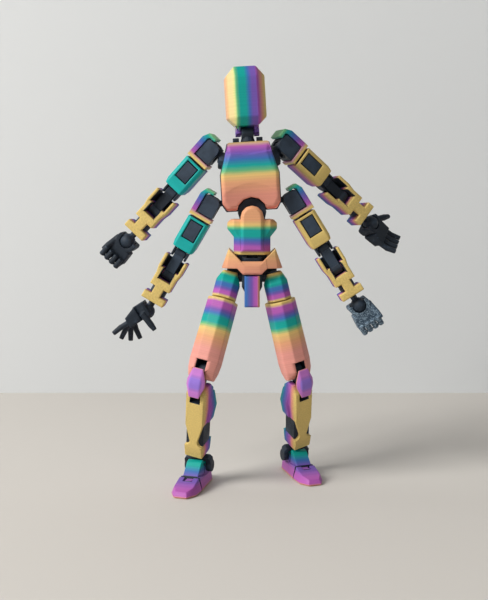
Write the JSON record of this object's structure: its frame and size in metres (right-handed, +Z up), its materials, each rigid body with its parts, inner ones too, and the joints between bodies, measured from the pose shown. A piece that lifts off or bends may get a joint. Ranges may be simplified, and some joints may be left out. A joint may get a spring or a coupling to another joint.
{
  "type": "posable action figure",
  "caption": "Posable printed figure with two pairs of arms, a faceless faceted head, a jointed dark frame and rainbow-banded shells, standing on flat soles.",
  "frame": {"origin": "on the ground under the middle of the figure's bounding box, in the plane of its soles", "axes": "+Z up along the body, -Y to the figure's front, +X to the figure's own left"},
  "size_m": [0.102, 0.0388, 0.1366],
  "materials": {
    "pelvis_shell": "peach part of a rainbow filament",
    "frame": "charcoal printed plastic with fine layer lines",
    "crotch_flap": "blue to magenta part of a rainbow filament",
    "waist_shell": "rainbow filament banded from top to bottom",
    "chest_front_shell": "rainbow filament banded from top to bottom",
    "head_shell": "rainbow filament banded from side to side",
    "shoulder_caps": "rainbow filament banded along the arm",
    "teal_arm_shells": "turquoise part of a rainbow filament",
    "forearm_shells": "grainy gold front with rainbow sides",
    "hands": "charcoal printed plastic, lightly scuffed",
    "gold_arm_shells": "gold part of a rainbow filament",
    "pale_hand": "charcoal printed plastic mottled with pale scuffs",
    "upper_thigh_shells": "rainbow filament banded along the thigh",
    "thigh_shells": "rainbow filament banded along the thigh",
    "kneecaps": "magenta to violet part of a rainbow filament",
    "shin_shells": "grainy gold front with rainbow sides",
    "feet": "rainbow filament banded up from the sole",
    "toes": "magenta part of a rainbow filament"
  },
  "bodies": {
    "pelvis": {"pelvis_shell": "pelvis_shell", "pelvis_frame": "frame", "crotch_flap": "crotch_flap"},
    "waist": {"waist_shell": "waist_shell"},
    "chest": {"chest_front_shell": "chest_front_shell", "chest_frame": "frame"},
    "neck": {"neck_post": "frame"},
    "head": {"head_shell": "head_shell"},
    "upper_right_shoulder": {"upper_right_shoulder_peg": "frame"},
    "upper_right_raise_body": {"upper_right_shoulder_cap": "shoulder_caps", "upper_right_shoulder_block": "frame"},
    "upper_right_swivel_body": {"upper_right_upper_arm_frame": "frame", "upper_right_upper_arm_shell": "teal_arm_shells"},
    "upper_right_elbow": {"upper_right_elbow_link": "frame"},
    "upper_right_forearm": {"upper_right_forearm_shell": "forearm_shells"},
    "upper_right_wrist": {"upper_right_wrist_peg": "frame"},
    "upper_right_hand_body": {"upper_right_hand": "hands"},
    "upper_left_shoulder": {"upper_left_shoulder_peg": "frame"},
    "upper_left_raise_body": {"upper_left_shoulder_cap": "shoulder_caps", "upper_left_shoulder_block": "frame"},
    "upper_left_swivel_body": {"upper_left_upper_arm_frame": "frame", "upper_left_upper_arm_shell": "gold_arm_shells"},
    "upper_left_elbow": {"upper_left_elbow_link": "frame"},
    "upper_left_forearm": {"upper_left_forearm_shell": "forearm_shells"},
    "upper_left_wrist": {"upper_left_wrist_peg": "frame"},
    "upper_left_hand_body": {"upper_left_hand": "hands"},
    "lower_right_shoulder": {"lower_right_shoulder_peg": "frame"},
    "lower_right_raise_body": {"lower_right_shoulder_cap": "shoulder_caps", "lower_right_upper_arm_frame": "frame", "lower_right_upper_arm_shell": "teal_arm_shells"},
    "lower_right_elbow": {"lower_right_elbow_link": "frame"},
    "lower_right_forearm": {"lower_right_forearm_shell": "forearm_shells"},
    "lower_right_wrist": {"lower_right_wrist_peg": "frame"},
    "lower_right_hand_body": {"lower_right_hand": "hands"},
    "lower_left_shoulder": {"lower_left_shoulder_peg": "frame"},
    "lower_left_raise_body": {"lower_left_shoulder_cap": "shoulder_caps", "lower_left_upper_arm_frame": "frame", "lower_left_upper_arm_shell": "gold_arm_shells"},
    "lower_left_elbow": {"lower_left_elbow_link": "frame"},
    "lower_left_forearm": {"lower_left_forearm_shell": "forearm_shells"},
    "lower_left_wrist": {"lower_left_wrist_peg": "frame"},
    "lower_left_hand_body": {"lower_left_hand": "pale_hand"},
    "right_hip": {"right_hip_joint": "frame"},
    "right_upper_thigh": {"right_upper_thigh_shell": "upper_thigh_shells"},
    "right_thigh": {"right_thigh_shell": "thigh_shells"},
    "right_knee": {"right_knee_link": "frame", "right_kneecap": "kneecaps"},
    "right_shin": {"right_shin_shell": "shin_shells"},
    "right_ankle": {"right_ankle_yoke": "frame"},
    "right_foot_body": {"right_foot": "feet"},
    "right_toe_body": {"right_toe": "toes"},
    "left_hip": {"left_hip_joint": "frame"},
    "left_upper_thigh": {"left_upper_thigh_shell": "upper_thigh_shells"},
    "left_thigh": {"left_thigh_shell": "thigh_shells"},
    "left_knee": {"left_knee_link": "frame", "left_kneecap": "kneecaps"},
    "left_shin": {"left_shin_shell": "shin_shells"},
    "left_ankle": {"left_ankle_yoke": "frame"},
    "left_foot_body": {"left_foot": "feet"},
    "left_toe_body": {"left_toe": "toes"}
  },
  "joints": [
    {"name": "waist_twist", "type": "hinge", "parent": "pelvis", "child": "waist", "pos_m": [-0.00057, -0.00353, 0.0769], "axis": [0, 0, 1], "range_deg": [-25, 25]},
    {"name": "chest_lean", "type": "hinge", "parent": "waist", "child": "chest", "pos_m": [-0.00057, -0.00353, 0.0904], "axis": [0, 1, 0], "range_deg": [-12, 12]},
    {"name": "neck_turn", "type": "hinge", "parent": "chest", "child": "neck", "pos_m": [-0.00193, -0.00093, 0.11266], "axis": [-0.061, 0, 0.9981], "range_deg": [-60, 60]},
    {"name": "head_nod", "type": "hinge", "parent": "neck", "child": "head", "pos_m": [-0.00213, -0.00093, 0.11595], "axis": [0.9943, 0.0872, 0.0608], "range_deg": [-30, 30]},
    {"name": "upper_right_swing", "type": "hinge", "parent": "chest", "child": "upper_right_shoulder", "pos_m": [-0.00642, -0.00113, 0.10602], "axis": [0.963, -0.1672, -0.2112], "range_deg": [-40, 60]},
    {"name": "upper_right_raise", "type": "hinge", "parent": "upper_right_shoulder", "child": "upper_right_raise_body", "pos_m": [-0.01248, -0.00011, 0.11022], "axis": [0.1733, 0.9848, 0.0106], "range_deg": [-8, 45]},
    {"name": "upper_right_swivel", "type": "hinge", "parent": "upper_right_raise_body", "child": "upper_right_swivel_body", "pos_m": [-0.01357, 0.00007, 0.11124], "axis": [0.671, -0.126, 0.7307], "range_deg": [-60, 60]},
    {"name": "upper_right_elbow_upper", "type": "hinge", "parent": "upper_right_swivel_body", "child": "upper_right_elbow", "pos_m": [-0.02678, 0.00255, 0.09685], "axis": [0.7209, -0.1195, -0.6826], "range_deg": [-45, 0]},
    {"name": "upper_right_elbow_lower", "type": "hinge", "parent": "upper_right_elbow", "child": "upper_right_forearm", "pos_m": [-0.03219, 0.00335, 0.091], "axis": [0.7209, -0.1195, -0.6826], "range_deg": [-75, 0]},
    {"name": "upper_right_wrist_twist", "type": "hinge", "parent": "upper_right_forearm", "child": "upper_right_wrist", "pos_m": [-0.03219, 0.00335, 0.091], "axis": [0.6792, -0.0742, 0.7302], "range_deg": [-80, 80]},
    {"name": "upper_right_wrist_bend", "type": "hinge", "parent": "upper_right_wrist", "child": "upper_right_hand_body", "pos_m": [-0.04176, 0.0044, 0.08071], "axis": [0.7209, -0.1195, -0.6826], "range_deg": [-30, 30]},
    {"name": "upper_left_swing", "type": "hinge", "parent": "chest", "child": "upper_left_shoulder", "pos_m": [0.00333, -0.00113, 0.10662], "axis": [0.8747, 0.3607, 0.3236], "range_deg": [-40, 60]},
    {"name": "upper_left_raise", "type": "hinge", "parent": "upper_left_shoulder", "child": "upper_left_raise_body", "pos_m": [0.00851, 0.00107, 0.1115], "axis": [0.3739, -0.9272, 0.0229], "range_deg": [-8, 45]},
    {"name": "upper_left_swivel", "type": "hinge", "parent": "upper_left_raise_body", "child": "upper_left_swivel_body", "pos_m": [0.00938, 0.00145, 0.11266], "axis": [-0.7236, -0.2762, 0.6326], "range_deg": [-60, 60]},
    {"name": "upper_left_elbow_upper", "type": "hinge", "parent": "upper_left_swivel_body", "child": "upper_left_elbow", "pos_m": [0.02363, 0.00689, 0.1002], "axis": [0.5802, 0.2531, 0.7741], "range_deg": [-45, 0]},
    {"name": "upper_left_elbow_lower", "type": "hinge", "parent": "upper_left_elbow", "child": "upper_left_forearm", "pos_m": [0.02947, 0.00897, 0.09514], "axis": [0.5802, 0.2531, 0.7741], "range_deg": [-75, 0]},
    {"name": "upper_left_wrist_twist", "type": "hinge", "parent": "upper_left_forearm", "child": "upper_left_wrist", "pos_m": [0.02947, 0.00897, 0.09514], "axis": [-0.7362, -0.2437, 0.6314], "range_deg": [-80, 80]},
    {"name": "upper_left_wrist_bend", "type": "hinge", "parent": "upper_left_wrist", "child": "upper_left_hand_body", "pos_m": [0.03985, 0.01241, 0.08624], "axis": [0.3688, 0.6379, 0.6761], "range_deg": [-30, 30]},
    {"name": "lower_right_swing", "type": "hinge", "parent": "chest", "child": "lower_right_shoulder", "pos_m": [-0.00801, -0.00113, 0.09335], "axis": [-0.9957, 0.0698, -0.0609], "range_deg": [-25, 35]},
    {"name": "lower_right_raise", "type": "hinge", "parent": "lower_right_shoulder", "child": "lower_right_raise_body", "pos_m": [-0.01269, -0.00081, 0.09306], "axis": [0.0696, 0.9976, 0.0043], "range_deg": [-15, 10]},
    {"name": "lower_right_elbow_upper", "type": "hinge", "parent": "lower_right_raise_body", "child": "lower_right_elbow", "pos_m": [-0.02395, 0.00005, 0.07685], "axis": [0.8596, -0.0578, -0.5077], "range_deg": [-45, 0]},
    {"name": "lower_right_elbow_lower", "type": "hinge", "parent": "lower_right_elbow", "child": "lower_right_forearm", "pos_m": [-0.02801, 0.00022, 0.06996], "axis": [0.8596, -0.0578, -0.5077], "range_deg": [-75, 0]},
    {"name": "lower_right_wrist_twist", "type": "hinge", "parent": "lower_right_forearm", "child": "lower_right_wrist", "pos_m": [-0.02801, 0.00022, 0.06996], "axis": [0.5083, -0.0042, 0.8612], "range_deg": [-80, 80]},
    {"name": "lower_right_wrist_bend", "type": "hinge", "parent": "lower_right_wrist", "child": "lower_right_hand_body", "pos_m": [-0.03518, 0.00028, 0.05782], "axis": [0.0219, 0.9997, -0.0081], "range_deg": [-30, 15]},
    {"name": "lower_left_swing", "type": "hinge", "parent": "chest", "child": "lower_left_shoulder", "pos_m": [0.00646, -0.00113, 0.09424], "axis": [-0.9957, -0.0698, -0.0609], "range_deg": [-25, 35]},
    {"name": "lower_left_raise", "type": "hinge", "parent": "lower_left_shoulder", "child": "lower_left_raise_body", "pos_m": [0.01114, -0.00081, 0.09452], "axis": [0.0696, -0.9976, 0.0043], "range_deg": [-15, 10]},
    {"name": "lower_left_elbow_upper", "type": "hinge", "parent": "lower_left_raise_body", "child": "lower_left_elbow", "pos_m": [0.02283, -0.00006, 0.07861], "axis": [0.8459, 0.0613, 0.5298], "range_deg": [-45, 0]},
    {"name": "lower_left_elbow_lower", "type": "hinge", "parent": "lower_left_elbow", "child": "lower_left_forearm", "pos_m": [0.02707, 0.00007, 0.07183], "axis": [0.8459, 0.0613, 0.5298], "range_deg": [-75, 0]},
    {"name": "lower_left_wrist_twist", "type": "hinge", "parent": "lower_left_forearm", "child": "lower_left_wrist", "pos_m": [0.02707, 0.00007, 0.07183], "axis": [-0.5309, 0.0015, 0.8475], "range_deg": [-80, 80]},
    {"name": "lower_left_wrist_bend", "type": "hinge", "parent": "lower_left_wrist", "child": "lower_left_hand_body", "pos_m": [0.03455, 0.00005, 0.05988], "axis": [0.8459, 0.0613, 0.5298], "range_deg": [-30, 30]},
    {"name": "right_hip_swing", "type": "hinge", "parent": "pelvis", "child": "right_hip", "pos_m": [-0.00777, -0.00353, 0.0695], "axis": [1, 0, 0], "range_deg": [-40, 25]},
    {"name": "right_hip_spread", "type": "hinge", "parent": "right_hip", "child": "right_upper_thigh", "pos_m": [-0.00777, -0.00353, 0.0695], "axis": [0, 0.9659, -0.2588], "range_deg": [-10, 14]},
    {"name": "right_thigh_swivel", "type": "hinge", "parent": "right_upper_thigh", "child": "right_thigh", "pos_m": [-0.0098, -0.00543, 0.06243], "axis": [0.2672, 0.2494, 0.9308], "range_deg": [-30, 25]},
    {"name": "right_knee_upper", "type": "hinge", "parent": "right_thigh", "child": "right_knee", "pos_m": [-0.01621, -0.01141, 0.04009], "axis": [0.9263, -0.3327, -0.1768], "range_deg": [-18, 34]},
    {"name": "right_knee_lower", "type": "hinge", "parent": "right_knee", "child": "right_shin", "pos_m": [-0.01733, -0.01109, 0.03359], "axis": [0.9263, -0.3327, -0.1768], "range_deg": [-15, 34]},
    {"name": "right_ankle_roll", "type": "hinge", "parent": "right_shin", "child": "right_ankle", "pos_m": [-0.01861, -0.00319, 0.01203], "axis": [0.3727, 0.8783, 0.2995], "range_deg": [-8, 8]},
    {"name": "right_ankle_pitch", "type": "hinge", "parent": "right_ankle", "child": "right_foot_body", "pos_m": [-0.01807, -0.0015, 0.0064], "axis": [0.9524, -0.3049, 0], "range_deg": [-5, 28]},
    {"name": "right_toe_bend", "type": "hinge", "parent": "right_foot_body", "child": "right_toe_body", "pos_m": [-0.02112, -0.01103, 0.0027], "axis": [0.9524, -0.3049, 0], "range_deg": [-20, 0]},
    {"name": "left_hip_swing", "type": "hinge", "parent": "pelvis", "child": "left_hip", "pos_m": [0.00663, -0.00353, 0.0695], "axis": [1, 0, 0], "range_deg": [-40, 25]},
    {"name": "left_hip_spread", "type": "hinge", "parent": "left_hip", "child": "left_upper_thigh", "pos_m": [0.00663, -0.00353, 0.0695], "axis": [0, -0.9994, -0.0349], "range_deg": [-10, 14]},
    {"name": "left_thigh_swivel", "type": "hinge", "parent": "left_upper_thigh", "child": "left_thigh", "pos_m": [0.00841, -0.00328, 0.06211], "axis": [0.2334, 0.0339, -0.9718], "range_deg": [-30, 25]},
    {"name": "left_knee_upper", "type": "hinge", "parent": "left_thigh", "child": "left_knee", "pos_m": [0.01401, -0.00246, 0.03879], "axis": [0.874, 0.4308, 0.225], "range_deg": [-18, 34]},
    {"name": "left_knee_lower", "type": "hinge", "parent": "left_knee", "child": "left_shin", "pos_m": [0.01484, -0.00084, 0.03245], "axis": [0.874, 0.4308, 0.225], "range_deg": [-15, 34]},
    {"name": "left_ankle_roll", "type": "hinge", "parent": "left_shin", "child": "left_ankle", "pos_m": [0.01512, 0.00936, 0.01183], "axis": [-0.4858, 0.786, 0.3822], "range_deg": [-8, 8]},
    {"name": "left_ankle_pitch", "type": "hinge", "parent": "left_ankle", "child": "left_foot_body", "pos_m": [0.01435, 0.01152, 0.0064], "axis": [0.9409, 0.3388, 0], "range_deg": [-5, 28]},
    {"name": "left_toe_bend", "type": "hinge", "parent": "left_foot_body", "child": "left_toe_body", "pos_m": [0.01774, 0.00211, 0.0027], "axis": [0.9409, 0.3388, 0], "range_deg": [-20, 0]}
  ]
}
